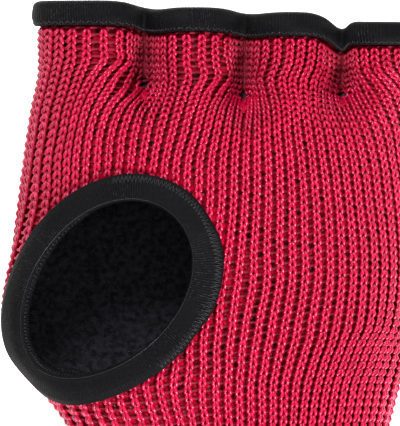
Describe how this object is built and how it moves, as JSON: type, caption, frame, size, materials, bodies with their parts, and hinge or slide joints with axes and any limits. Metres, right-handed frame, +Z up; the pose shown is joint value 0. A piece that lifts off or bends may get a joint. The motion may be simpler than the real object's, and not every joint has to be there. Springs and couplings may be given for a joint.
{
  "type": "boxing inner glove",
  "caption": "Fingerless ribbed knit inner mitt for the left hand, with joined finger loops, a bound thumb hole, a soft black lining and a plain cuff.",
  "frame": {"origin": "on the surface that the glove lies on, below the middle of its outline", "axes": "+Y towards the fingers, -X towards the thumb, +Z up out of the palm"},
  "size_m": [0.1062, 0.1561, 0.0385],
  "materials": {
    "red_knit": "glossy rib knit",
    "black_fleece": "brushed",
    "black_tape": "woven elastic"
  },
  "bodies": {
    "root": {"knit_shell": "red_knit", "fleece_lining": "black_fleece", "finger_binding": "black_tape", "thumb_binding": "black_tape", "wrist_binding": "black_tape"}
  },
  "joints": []
}
